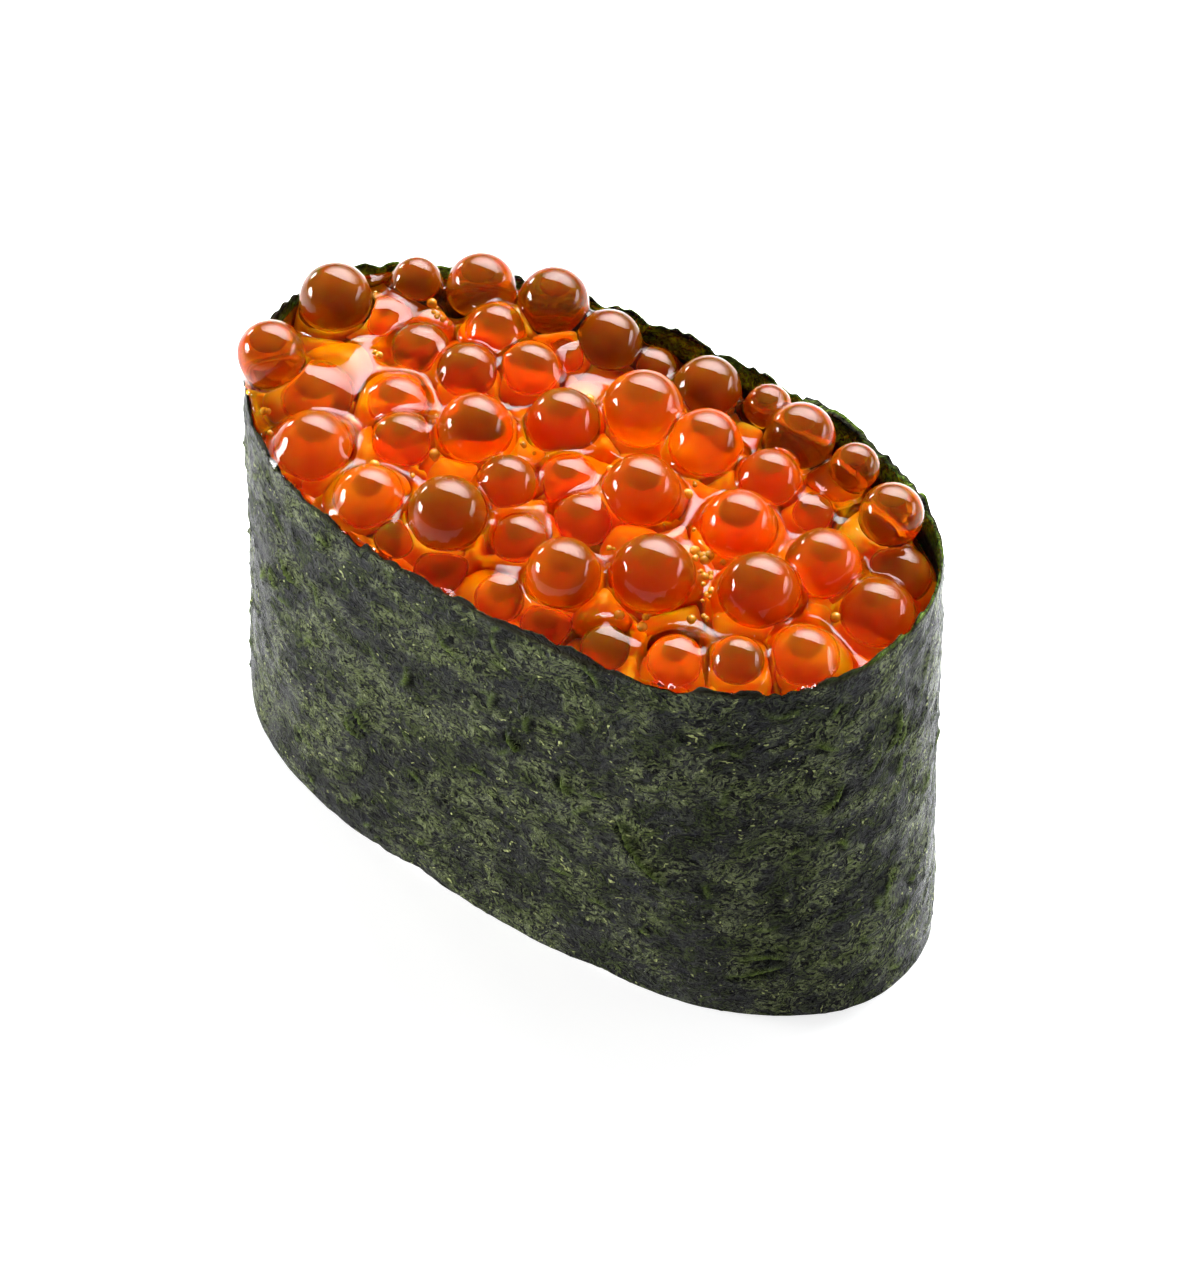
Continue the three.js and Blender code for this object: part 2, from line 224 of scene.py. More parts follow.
GRAIN_LAYER = 1.9
RICE_INSET = 0.8
RICE_TURNS = 120
RICE_RINGS = (  # share of the plan, and height
    (0.5, GRAIN_LAYER), (0.95, GRAIN_LAYER), (1, 3.0), (1, 10.0), (1, RICE_HEIGHT), (0.6, RICE_HEIGHT),
)
GRAIN_ROWS = range(-4, 5)
GRAIN_COLUMNS = range(-6, 7)
GRAIN_SIZES = (0.9, 1.02)
GRAIN_SWING = 0.9
GRAIN_BEND = 0.03
GRAIN_LIFT = 0.7  # centre of the lowest layer's grains
GRAIN_LAYER_STEP = 1.0

# ---- Colours and wet matter ----
# Slate patches: their own dark tone, with a painted bluish sheen in the colour
NORI_SLATE_AND_SHEEN = (0.016, 0.016, 0.025, 1)
NORI_OLIVE = (0.015, 0.025, 0.005, 1)
NORI_VEIN = (0.170, 0.220, 0.055, 1)
NORI_THREAD = (0.340, 0.390, 0.180, 1)
NORI_SPECK = (0.60, 0.66, 0.26, 1)
# Painted highlight on the curled lips' lit ridges
NORI_LIP_HIGHLIGHT = (0.22, 0.32, 0.05, 1)
# Black: the sheet's darkest tone, and painted shade in its pits and in the lips' trenches
NORI_BLACK_AND_SHADE = (0.001, 0.001, 0.001, 1)
NORI_RIM = (0.030, 0.026, 0.008, 1)
# Painted backlight: green glow of light shining through the sheet, on the inner face along the far side's
# rim
NORI_BACKLIGHT = (0.08, 0.16, 0.008, 1)
NORI_PALE_BACKLIGHT = (0.50, 0.90, 0.04, 1)
# Inner face: painted shade, a near-black colour where the inner face lies in shade
NORI_INSIDE_SHADE = (0.006, 0.004, 0.002, 1)
NORI_IOR = 1.15
NORI_BUMP = 0.7  # height of the fine relief, in millimetres
NORI_BENDS = ((0.4, 3.0, 4.0), (1.5, 2.0, 0.9))  # scale, detail and reach of what bends its marks
FIBRE_HEADING = -0.7  # radians, along which the sheet's fibres mostly lie
FIBRE_STRETCH = (0.38, 1.0, 1.0)
NEAR_SIDE = 0.54  # place along the strip, as a share of its length, of the near side's middle

LIQUID_IOR = 1.29
LIQUID_LOSS = (0.0, 20.0, 400.0)
EGG_IOR = 1.05  # against the liquid round it
EGG_COLOUR = (0.90, 0.34, 0.018)
# Loss of each colour in an egg, and the share of light that its own matter scatters
EGG_TINTS = (
    ((0.0, 6.0, 400.0), 0.13),
    ((0.0, 14.0, 500.0), 0.13),
    ((0.0, 28.0, 600.0), 0.13),
    ((10.0, 14.0, 200.0), 0.12),
)
OIL_COLOUR = (0.16, 0.006, 0.001, 1)
OIL_COVER = 0.5  # share of what lies behind it that one face of an oil droplet hides
BUBBLE_COLOUR = (1.0, 0.50, 0.03, 1)
BUBBLE_CLEARNESS = 0.5
BUBBLE_IOR = 1.45
BED_COLOUR = (0.87, 0.20, 0.005, 1)
PALE_BED_COLOUR = (0.87, 0.40, 0.015, 1)
RICE_COLOUR = (0.80, 0.76, 0.66, 1)
PALE_RICE_COLOUR = (0.92, 0.90, 0.84, 1)


# ---- Plan and levels ----


def swell(turn, middle, spread):
    """One swell round the place where a turn is."""
    away = np.abs(turn - middle)
    return np.exp(-((np.minimum(away, 1 - away) / spread) ** 2))


def rim_height(turn):
    angle = 2 * np.pi * turn
    waves = sum(share * np.sin(count * angle + start) for count, start, share in RIM_WAVES)
    return BAND_HEIGHT + RIM_WAVE * waves + RIM_PEAK * swell(turn, RIM_PEAK_TURN, RIM_PEAK_SPREAD)


def foot_height(turn):
    height = sum(lift * swell(turn, middle, spread) for middle, lift, spread in FOOT_LIFTS)
    return np.where(height > LEAST_FOOT_LIFT, height, 0.0)


def oval_point(turn, half_length, half_width):
    power = 2 / OVAL_POWER
    cosine, sine = np.cos(2 * np.pi * turn), np.sin(2 * np.pi * turn)
    x = half_length * np.sign(cosine) * np.abs(cosine) ** power
    y = half_width * np.sign(sine) * np.abs(sine) ** power
    return np.stack([x, y], axis=-1)


def band_plan(turn, share, outward):
    """The band's plan at a share of its height, pushed outward by some millimetres."""
    half_length = BASE_HALF_LENGTH + (RIM_HALF_LENGTH - BASE_HALF_LENGTH) * share
    half_width = BASE_HALF_WIDTH + (RIM_HALF_WIDTH - BASE_HALF_WIDTH) * share
    step = 0.001
    ahead = oval_point(turn + step, half_length, half_width)
    along = ahead - oval_point(turn - step, half_length, half_width)
    normal = np.stack([along[..., 1], -along[..., 0]], axis=-1)
    normal /= np.linalg.norm(normal, axis=-1, keepdims=True)
    angle = 2 * np.pi * turn
    push = outward + BULGE * np.sin(BULGE_COUNT * angle + BULGE_TWIST * share) * np.sin(np.pi * share)
    for count, cosine, sine in OVAL_WAVES:
        push = push + cosine * np.cos(count * angle) + sine * np.sin(count * angle)
    lean = np.multiply.outer(share, RIM_LEAN)
    return oval_point(turn, half_length, half_width) + normal * push[..., None] + lean


def seam_offset(turn):
    behind = np.mod(SEAM_TURN - turn, 1)
    return SEAM_STEP * np.maximum(0, 1 - behind / SEAM_RAMP) ** 0.5


def oval_share(x, y, half_length, half_width):
    total = np.abs(x / half_length) ** OVAL_POWER + np.abs(y / half_width) ** OVAL_POWER
    return total ** (1 / OVAL_POWER)


def liquid_level(x, y):
    """Height of the liquid at a place in the plan."""
    share = np.minimum(1, oval_share(x, y, RIM_HALF_LENGTH, RIM_HALF_WIDTH))
    direction = np.arctan2(y / RIM_HALF_WIDTH, x / RIM_HALF_LENGTH)
    drop = LEVEL_DROP + BACK_DROP * np.maximum(0, np.cos(direction - BACK_DIRECTION))
    return BAND_HEIGHT + MIDDLE_RISE * (1 - share**2) - drop * share**3


def strip_runs(count):
    """Turns at even steps along the strip, from its seam all the way round, and the run up to each."""
    turns = SEAM_TURN + np.linspace(0, 1, count)
    plan = band_plan(np.mod(turns, 1), np.full_like(turns, RUN_LEVEL), 0.0)
    runs = np.concatenate([[0], np.cumsum(np.hypot(*np.diff(plan, axis=0).T))])
    return turns, runs


STRIP_TURNS, STRIP_RUNS = strip_runs(RUN_STEPS)
STRIP_LENGTH = float(STRIP_RUNS[-1])


def wall_distance(points, inset):
    """How far points lie outside the band's inner face, below zero inside it."""
    turns = np.linspace(0, 1, WALL_STEPS)[:-1]
    angle = np.arctan2(points[..., 1], points[..., 0])
    reach = np.hypot(points[..., 0], points[..., 1])
    share = points[..., 2] / BAND_HEIGHT
    limits = []
    for level in (WALL_LOW, 1.0):
        plan = band_plan(turns, np.full_like(turns, level), -inset)
        around = np.arctan2(plan[:, 1], plan[:, 0])
        order = np.argsort(around)
        limits.append(np.interp(angle, around[order], np.hypot(*plan[order].T), period=2 * np.pi))
    low, high = limits
    limit = low + (high - low) * (np.minimum(share, 1.0) - WALL_LOW) / WALL_SPAN
    return (reach - limit) * WALL_SHARE


# ---- Mesh helpers ----


def make_object(name, points, faces):
    """An object in metres from points in millimetres, in the model's own plan."""
    mesh = bpy.data.meshes.new(name)
    places = (np.asarray(points) + MIDDLE_OF_FOOTPRINT) * MM
    mesh.from_pydata(places, [], [list(map(int, face)) for face in faces])
    mesh.validate()
    mesh.shade_smooth()
    piece = bpy.data.objects.new(name, mesh)
    bpy.context.scene.collection.objects.link(piece)
    return piece


def ring_faces(rows, count, closed):
    """Quads between rows of points that go round, the last row joined to the first when closed."""
    faces = []
    for row in range(rows if closed else rows - 1):
        first, second = row * count, ((row + 1) % rows) * count
        index = np.arange(count)
        after = (index + 1) % count
        faces.append(np.stack([first + index, first + after, second + after, second + index], axis=1))
    return np.concatenate(faces)


def make_block(name, rows, bottom, top):
    """A closed block of rings, shut by a fan of triangles to its axis at the bottom and the top."""
    count = len(rows[0])
    points = np.concatenate([[[0, 0, bottom]], *rows, [[0, 0, top]]])
    faces = (ring_faces(len(rows), count, False) + 1).tolist()
    last = 1 + (len(rows) - 1) * count
    for i in range(count):
        after = (i + 1) % count
        faces.append([0, 1 + after, 1 + i])
        faces.append([last + i, last + after, len(points) - 1])
    return make_object(name, points, faces)


def lattice_noise(u, v, columns, rows, seed):
    """Smooth noise between -1 and 1, over u from 0 to 1 that repeats and v from 0 to 1 that doesn't."""
    table = np.random.RandomState(seed).uniform(-1, 1, (rows + 2, columns))
    across, up = np.mod(u, 1) * columns, np.clip(v, 0, 1) * rows
    i, j = np.floor(across).astype(int) % columns, np.floor(up).astype(int)
    s, t = across - np.floor(across), up - np.floor(up)
    s, t = s * s * (3 - 2 * s), t * t * (3 - 2 * t)
    low = table[j, i] * (1 - s) + table[j, (i + 1) % columns] * s
    high = table[j + 1, i] * (1 - s) + table[j + 1, (i + 1) % columns] * s
    return low * (1 - t) + high * t


def unit_ball(divisions):
    """Points and triangles of a ball of radius 1."""
    shape = bmesh.new()
    bmesh.ops.create_icosphere(shape, subdivisions=divisions, radius=1.0)
    points = np.array([v.co[:] for v in shape.verts])
    faces = np.array([[v.index for v in f.verts] for f in shape.faces])
    shape.free()
    return points, faces


def make_copies(name, shapes):
    """One piece out of many shapes, each its points and its faces. Also says which faces are whose."""
    points, faces, owners, first = [], [], [], 0
    for owner, (shape_points, shape_faces) in enumerate(shapes):
        points.append(shape_points)
        faces.append(shape_faces + first)
        owners.append(np.full(len(shape_faces), owner))
        first += len(shape_points)
    return make_object(name, np.concatenate(points), np.concatenate(faces)), np.concatenate(owners)


# ---- Nori ----


def scatter_curls():
    """The listed lips, and smaller ones all over the strip."""
    start = np.interp(SEAM_TURN + (CURLS_START - SEAM_TURN) % 1, STRIP_TURNS, STRIP_RUNS)
    rng = np.random.RandomState(5)
    curls = [(start + curl[0], *curl[1:]) for curl in CURLS]
    for _ in range(CURL_COUNT):
        along = rng.uniform(0, STRIP_LENGTH)
        height = rng.uniform(CURL_MARGIN, BAND_HEIGHT - CURL_MARGIN)
        size = rng.uniform(*CURL_SIZES)
        heading = rng.uniform(-CURL_HEADING, CURL_HEADING)
        bend = rng.uniform(-CURL_BEND, CURL_BEND)
        curls.append((along, height, size, heading, bend, rng.uniform(*CURL_LIFTS)))
    return curls


def curl_marks(along, height, curls):
    """Relief of the curled lips, and the masks of their painted highlight on the ridge and painted shade
    in the trench.
    """
    relief, lip, groove_shade = np.zeros_like(along), np.zeros_like(along), np.zeros_like(along)
    for middle, level, size, heading, bend, lift in curls:
        dx = np.mod(along - middle + STRIP_LENGTH / 2, STRIP_LENGTH) - STRIP_LENGTH / 2
        dy = height - level
        x = dx * math.cos(heading) + dy * math.sin(heading)
        y = dy * math.cos(heading) - dx * math.sin(heading) - bend * x * x / size
        window = np.maximum(0, 1 - (2 * x / size) ** 2)
        ridge = window * np.exp(-(((y - RIDGE_PLACE) / CURL_WIDTH) ** 2))
        trench = window * np.exp(-(((y - TRENCH_PLACE) / CURL_WIDTH) ** 2))
        flap = window * np.exp(-np.abs(y - FLAP_PEAK) / (FLAP_FADE * size)) * (y > FLAP_START)
        relief += lift * (ridge - TRENCH_SHARE * trench + FLAP_SHARE * flap)
        mark = min(1, lift / FULL_MARK_LIFT)
        lip = np.maximum(lip, ridge * mark)
        groove_shade = np.maximum(groove_shade, trench * mark)
    return relief, lip, groove_shade


def strip_noise(along, height, cell, seed):
    """Smooth noise on the strip, with cells of some millimetres, that closes round it."""
    columns, rows = round(STRIP_LENGTH / cell), max(1, round(BAND_HEIGHT / cell))
    return lattice_noise(along / STRIP_LENGTH, height / BAND_HEIGHT, columns, rows, seed)


def layered_noise(along, height, layers, seed):
    """Noise in layers, each with its height and its cell."""
    return sum(size * strip_noise(along, height, cell, seed + i) for i, (size, cell) in enumerate(layers))


def sheet_relief(along, height):
    """Low swells and wrinkles of the sheet, in millimetres."""
    relief = layered_noise(along, height, SHEET_SWELLS, 1)
    wrinkle = 1 - np.abs(strip_noise(along, height, WRINKLE_CELL, 5))
    return relief + WRINKLE * wrinkle**WRINKLE_POWER


def rim_teeth(along):
    """The torn look of the cut edge."""
    return layered_noise(along, np.zeros_like(along), RIM_TEETH, 11)


def wrap_sheet(sheet, wraps):
    """Lays the strip out flat as its UV map: its length is 1, and the inner face folds over the rim."""
    corners = np.empty(len(sheet.data.loops), int)
    sheet.data.loops.foreach_get("vertex_index", corners)
    wrap = wraps[corners].reshape(-1, 4, 2)
    closing = np.ptp(wrap[:, :, 0], axis=1) > STRIP_LENGTH / 2
    wrap[closing, :, 0] = np.where(wrap[closing, :, 0] < 1, STRIP_LENGTH, wrap[closing, :, 0])
    layer = sheet.data.uv_layers.new(name="wrap")
    layer.uv.foreach_set("vector", (wrap / STRIP_LENGTH).astype(np.float32).ravel())


def make_nori():
    """The sheet as one closed strip: up its outer face, over the rim and down its inner face."""
    columns = np.arange(SHEET_TURN_STEPS) + SHEET_SEAM_START
    along = columns / (SHEET_TURN_STEPS - SHEET_SEAM_LOSS) * STRIP_LENGTH
    turns = np.mod(np.interp(along, STRIP_RUNS, STRIP_TURNS), 1)
    outer_rows = np.linspace(0, 1, SHEET_OUTER_ROWS + 1)
    inner_rows = 1 - np.linspace(0, 1, SHEET_INNER_ROWS + 1) ** SHEET_INNER_POWER
    curls = scatter_curls()
    low = foot_height(turns) * (1 + rim_teeth(along[::-1]))
    high = rim_height(turns) + rim_teeth(along)
    points, marks, wraps = [], [], []
    for share, inner in [(s, False) for s in outer_rows] + [(s, True) for s in inner_rows]:
        height = low + (high - low) * share
        relief, lip, groove_shade = curl_marks(along, height, curls)
        swells = sheet_relief(along, height)
        edge = min(1.0, (1 - share) * RIM_FADE, share * FOOT_FADE + EDGE_RELIEF)
        if inner:
            thickness = SHEET_THICKNESS * (EDGE_THICKNESS + (1 - EDGE_THICKNESS) * edge)
            outward = swells * INNER_RELIEF - thickness
            wraps.append(np.column_stack([along, 2 * BAND_HEIGHT - height]))
        else:
            outward = (relief + swells) * (EDGE_RELIEF + (1 - EDGE_RELIEF) * edge)
            outward = outward + seam_offset(turns) - EDGE_ROUNDING * (1 - edge)
            wraps.append(np.column_stack([along, height]))
        plan = band_plan(turns, np.full_like(turns, share), outward)
        points.append(np.column_stack([plan, height]))
        marks.append(np.column_stack([lip, groove_shade]) * (not inner))
    faces = ring_faces(len(points), SHEET_TURN_STEPS, True)
    sheet = make_object("nori_sheet", np.concatenate(points), faces)
    wrap_sheet(sheet, np.concatenate(wraps))
    # masks of the lips' painted highlight on their ridges and painted shade in their trenches
    for column, name in enumerate(("lip", "groove_shade")):
        layer = sheet.data.attributes.new(name, "FLOAT", "POINT")
        layer.data.foreach_set("value", np.concatenate(marks)[:, column].astype(np.float32))
    return sheet


# ---- Roe ----


def shown_eggs():
    """Centres and radii of the eggs that show."""
    return np.array([(x, y, BAND_HEIGHT + over_rim, diameter / 2) for x, y, diameter, over_rim in EGGS])


def support_eggs(drop):
    """The eggs that carry the high ones, lower by a share of the diameter."""
    eggs = []
    for x, y, diameter, over_rim in EGGS:
        dip = float(liquid_level(x, y)) - (BAND_HEIGHT + over_rim - diameter / 2)
        if dip < EGG_HOLD:
            below = BAND_HEIGHT + over_rim - drop * diameter
            eggs.append((x * SUPPORT_INWARD, y * SUPPORT_INWARD, below, diameter / 2))
    return np.array(eggs)


def sunken_eggs(eggs):
    """Eggs that lie in the liquid, in the gaps that the others leave."""
    rng = np.random.RandomState(44)
    placed = list(eggs)
    for _ in range(SUNKEN_TRIES):
        x, y = rng.uniform(-1, 1, 2) * (RIM_HALF_LENGTH, RIM_HALF_WIDTH)
        radius = rng.uniform(*SUNKEN_RADII)
        half_length = RIM_HALF_LENGTH - radius - SUNKEN_MARGIN
        half_width = RIM_HALF_WIDTH - radius - SUNKEN_MARGIN
        if oval_share(x, y, half_length, half_width) > 1:
            continue
        z = float(liquid_level(x, y)) + SUNKEN_TOP - rng.uniform(0, SUNKEN_SPREAD) - radius
        for ex, ey, ez, other in placed:
            reach = ((radius + other) * SUNKEN_TOUCH) ** 2 - (x - ex) ** 2 - (y - ey) ** 2
            if reach > 0:
                z = min(z, ez - math.sqrt(reach))
        if z > float(liquid_level(x, y)) - SUNKEN_DEPTH:
            placed.append((x, y, z, radius))
    return np.array(placed[len(eggs) :])


def soft_min(a, b, reach):
    blend = np.maximum(reach - np.abs(a - b), 0) / reach
    return np.minimum(a, b) - blend * blend * reach / 4


def soft_max(a, b, reach):
    return -soft_min(-a, -b, reach)


def egg_distance(points, eggs):
    """Distance to the nearest egg, with a film of liquid where eggs touch. Exact near eggs only."""
    result = np.full(points.shape[:-1], 2 * EGG_REACH)
    for x, y, z, radius in eggs:
        away = (points[..., 0] - x) ** 2 + (points[..., 1] - y) ** 2
        near = away < (radius + EGG_REACH) ** 2
        height = (points[..., 2][near] - z) / EGG_FLATTENING
        distance = np.sqrt(away[near] + height**2) - radius
        result[near] = soft_min(result[near], distance, EGG_FILLET)
    return result


def pool_rise(x, y):
    """How much higher the liquid stands in the open pools."""
    total = 0.0
    for pool_x, pool_y, spread, rise in POOLS:
        away = (x - pool_x) ** 2 + (y - pool_y) ** 2
        total = total + rise * np.exp(-away / spread**2)
    return total


def heap_distance(points, eggs):
    """Below zero inside the wet heap: eggs, liquid with its menisci, wall and underside."""
    x, y, z = points[..., 0], points[..., 1], points[..., 2]
    wall = wall_distance(points, SKIN_INSET)
    climb = WALL_CLIMB * np.exp(np.minimum(wall, 0) / WALL_CLIMB_REACH)
    liquid = z - liquid_level(x, y) - pool_rise(x, y) + SKIN_DROP - climb
    heap = soft_min(egg_distance(points, eggs), liquid, LIQUID_FILLET)
    free = np.maximum(0, z - (BAND_HEIGHT - FREE_FROM))
    heap = soft_max(heap, wall - FREE_SLOPE * free, WALL_FILLET)
    return np.maximum(heap, SKIN_BOTTOM - z)


def surface_net(inside):
    """Quads round the border of a filled grid, numbered by the grid cells that they cross."""
    shape = np.array(inside.shape) - 1
    corners = np.zeros(shape, int)
    for dx in (0, 1):
        for dy in (0, 1):
            for dz in (0, 1):
                corners += inside[dx : shape[0] + dx, dy : shape[1] + dy, dz : shape[2] + dz]
    mixed = (corners > 0) & (corners < 8)
    number = np.full(shape, -1)
    number[mixed] = np.arange(mixed.sum())
    quads = []
    for axis in range(3):
        side_a, side_b = np.eye(3, dtype=int)[(axis + 1) % 3], np.eye(3, dtype=int)[(axis + 2) % 3]
        low = np.moveaxis(inside, axis, 0)[:-1]
        high = np.moveaxis(inside, axis, 0)[1:]
        flips = np.moveaxis(low != high, 0, axis)
        starts = np.argwhere(flips)
        around = [starts, starts - side_a, starts - side_a - side_b, starts - side_b]
        quad = np.stack([number[tuple(cell.T)] for cell in around], axis=1)
        outward = inside[tuple(starts.T)]
        quad[~outward] = quad[~outward][:, ::-1]
        quads.append(quad)
    return np.argwhere(mixed), np.concatenate(quads)


def settle_on_surface(points, field, steps=4):
    """Moves points along the field's slope onto its zero level."""
    nudge = 0.02
    least_slope_squared = 0.2
    for _ in range(steps):
        slope = np.empty_like(points)
        for axis in range(3):
            offset = np.zeros(3)
            offset[axis] = nudge
            slope[:, axis] = (field(points + offset) - field(points - offset)) / (2 * nudge)
        size = np.maximum((slope**2).sum(1), least_slope_squared)
        move = -(field(points) / size)[:, None] * slope
        points = points + np.clip(move, -SKIN_CELL, SKIN_CELL)
    return points


def make_skin(eggs):
    """The outer surface of liquid and eggs, one closed body."""
    room_x, room_y, room_below, room_above = SKIN_ROOM
    low = np.array([-RIM_HALF_LENGTH - room_x, -RIM_HALF_WIDTH - room_y, SKIN_BOTTOM - room_below])
    high = np.array([RIM_HALF_LENGTH + room_x, RIM_HALF_WIDTH + room_y, BAND_HEIGHT + room_above])
    axes = [np.arange(a, b, SKIN_CELL) for a, b in zip(low, high)]
    grid = np.stack(np.meshgrid(*axes, indexing="ij"), axis=-1)

    def field(places):
        return heap_distance(places, eggs)

    cells, quads = surface_net(field(grid) < 0)
    points = settle_on_surface(low + (cells + 0.5) * SKIN_CELL, field)
    return make_object("roe_skin", points, quads)


def make_inner_eggs(name, eggs, divisions):
    """Each egg's own ball inside the film of liquid."""
    ball, faces = unit_ball(divisions)
    shapes = []
    for x, y, z, radius in eggs:
        size = (radius - MEMBRANE) * np.array([1, 1, EGG_FLATTENING])
        shapes.append((ball * size + (x, y, z), faces))
    return make_copies(name, shapes)


def make_clear_eggs(eggs):
    """The eggs that show. The ones that stand over the liquid have the last tint."""
    piece, owners = make_inner_eggs("roe_eggs", eggs, 4)
    tints = np.random.RandomState(8).randint(0, len(EGG_TINTS) - 1, len(eggs))
    free = eggs[:, 2] - liquid_level(eggs[:, 0], eggs[:, 1]) > FREE_EGG_HEIGHT
    tints[free] = len(EGG_TINTS) - 1
    piece.data.polygons.foreach_set("material_index", tints[owners].astype(np.int32))
    return piece


def make_droplets(eggs):
    """The red oil that floats at the top of each egg."""
    ball, faces = unit_ball(3)
    rng = np.random.RandomState(13)
    shapes = []
    for x, y, z, radius in eggs:
        size = radius * DROPLET_SHARE * rng.uniform(*DROPLET_SPREAD)
        shift = rng.uniform(-DROPLET_SHIFT, DROPLET_SHIFT, 2) * radius
        points = ball * (size, size, size * DROPLET_FLATNESS)
        points[:, 2] -= DROPLET_DROOP * (points[:, 0] ** 2 + points[:, 1] ** 2) / radius
        centre = (x + shift[0], y + shift[1], z + radius * EGG_FLATTENING * DROPLET_HEIGHT)
        shapes.append((points + centre, faces))
    return make_copies("roe_droplets", shapes)[0]


def bed_height(x, y, eggs):
    """Tops of the next layer of eggs, kept under the eggs that show."""
    height = liquid_level(x, y) - BED_DEPTH - BED_EGG * BED_FLOOR
    row_step = BED_PITCH * BED_ROW_STEP
    rng = np.random.RandomState(21)
    for row in BED_ROWS:
        for column in BED_COLUMNS:
            jitter = rng.uniform(-BED_JITTER, BED_JITTER, 3)
            cx = (column + 0.5 * (row % 2)) * BED_PITCH + jitter[0]
            cy = row * row_step + jitter[1]
            away = (x - cx) ** 2 + (y - cy) ** 2
            centre = liquid_level(cx, cy) - BED_DEPTH - BED_EGG + 0.5 * jitter[2]
            top = centre + np.sqrt(np.maximum(BED_EGG**2 - away, 0))
            height = np.where(away < BED_EGG**2, np.maximum(height, top), height)
    for ex, ey, ez, radius in eggs:
        away = (x - ex) ** 2 + (y - ey) ** 2
        reach = radius * BED_CLEARANCE
        floor = ez - np.sqrt(np.maximum(reach**2 - away, 0)) * EGG_FLATTENING
        height = np.where(away < reach**2, np.minimum(height, floor), height)
    return height


def make_bed(eggs):
    """The heap's own core: a closed block whose top is the next layer of eggs."""
    turns = np.arange(BED_TURNS) / BED_TURNS
    low = np.full_like(turns, BED_BOTTOM / BAND_HEIGHT)
    plan = band_plan(turns, low, -BED_INSET)
    rows = [np.column_stack([plan * size, low * BAND_HEIGHT]) for size in (0.5, 1)]
    for size in np.linspace(1, 0, BED_RINGS)[:-1]:
        rim = band_plan(turns, np.full_like(turns, BED_LEVEL), -BED_INSET) * size
        height = bed_height(rim[:, 0], rim[:, 1], eggs)
        plan = band_plan(turns, height / BAND_HEIGHT, -BED_INSET) * size
        rows.append(np.column_stack([plan, height]))
    middle = float(bed_height(np.zeros(1), np.zeros(1), eggs)[0])
    return make_block("roe_bed", rows, BED_BOTTOM, middle)


def surface_height(x, y, eggs):
    """Height of the wet surface at a place in the plan."""
    heights = float(liquid_level(x, y)) + np.linspace(*SURFACE_SEARCH)
    column = np.column_stack([np.full_like(heights, x), np.full_like(heights, y), heights])
    return heights[heap_distance(column, eggs) < 0].max(initial=heights[0])


def make_bubbles(eggs):
    """Tiny bubbles caught at the liquid's surface between the eggs, most of them in clusters."""
    ball, faces = unit_ball(2)
    rng = np.random.RandomState(31)
    clusters = list(BUBBLE_CLUSTERS)
    for _ in range(STRAY_BUBBLES):
        x, y = rng.uniform(-1, 1, 2) * (RIM_HALF_LENGTH - STRAY_MARGIN, RIM_HALF_WIDTH - STRAY_MARGIN)
        clusters.append((x, y, STRAY_SPREAD, rng.randint(1, 4)))
    shapes = []
    for middle_x, middle_y, spread, count in clusters:
        for _ in range(count):
            x, y = rng.normal((middle_x, middle_y), spread)
            radius = min(BUBBLE_LARGEST, BUBBLE_SMALLEST * math.exp(rng.exponential(BUBBLE_SPREAD)))
            height = surface_height(x, y, eggs)
            centre = np.array([x, y, height - BUBBLE_SINK * radius])
            in_crevice = height < float(liquid_level(x, y)) + CREVICE_TOP
            if in_crevice and wall_distance(centre[None], SKIN_INSET)[0] < -radius:
                shapes.append((ball * radius + centre, faces))
    return make_copies("roe_bubbles", shapes)[0]


# ---- Rice ----


def make_rice_core():
    """The pressed rice above its grains."""
    turns = np.arange(RICE_TURNS) / RICE_TURNS
    rows = []
    for size, height in RICE_RINGS:
        plan = band_plan(turns, np.full_like(turns, height / BAND_HEIGHT), -RICE_INSET) * size
        rows.append(np.column_stack([plan, np.full_like(turns, height)]))
    return make_block("rice_core", rows, GRAIN_LAYER, RICE_HEIGHT)


def grain_heading(row, column, layer):
    """How far a grain is turned. The middle one lies along the piece."""
    off_middle = min(1, abs(row) + abs(column) + layer)
    return GRAIN_SWING * math.sin(5 * row + 3 * column + 2 * layer) * off_middle


def make_grains():
    """Cooked grains of the underside: a pressed lowest layer and one above it that fills the gaps."""
    ball, faces = unit_ball(3)
    rng = np.random.RandomState(3)
    full_size = np.array([GRAIN_LENGTH, GRAIN_WIDTH, GRAIN_THICKNESS])
    shapes = []
    for row, column, layer in itertools.product(GRAIN_ROWS, GRAIN_COLUMNS, (0, 1)):
        x = (column + 0.5 * abs(row % 2) + 0.5 * layer) * GRAIN_PITCH_X
        y = (row + 0.5 * layer) * GRAIN_PITCH_Y
        if oval_share(x, y, BASE_HALF_LENGTH, BASE_HALF_WIDTH) > GRAIN_EDGE:
            continue
        points = ball * (full_size / 2 * rng.uniform(*GRAIN_SIZES))
        points[:, 1] += GRAIN_BEND * points[:, 0] ** 2 * rng.uniform(-1, 1)
        heading = grain_heading(row, column, layer)
        turned = points.copy()
        turned[:, 0] = points[:, 0] * math.cos(heading) - points[:, 1] * math.sin(heading)
        turned[:, 1] = points[:, 0] * math.sin(heading) + points[:, 1] * math.cos(heading)
        turned += (x, y, GRAIN_LIFT + layer * GRAIN_LAYER_STEP)
        turned[:, 2] = np.maximum(turned[:, 2], 0.0)
        shapes.append((turned, faces))
    return make_copies("rice_grains", shapes)[0]


# ---- Materials ----


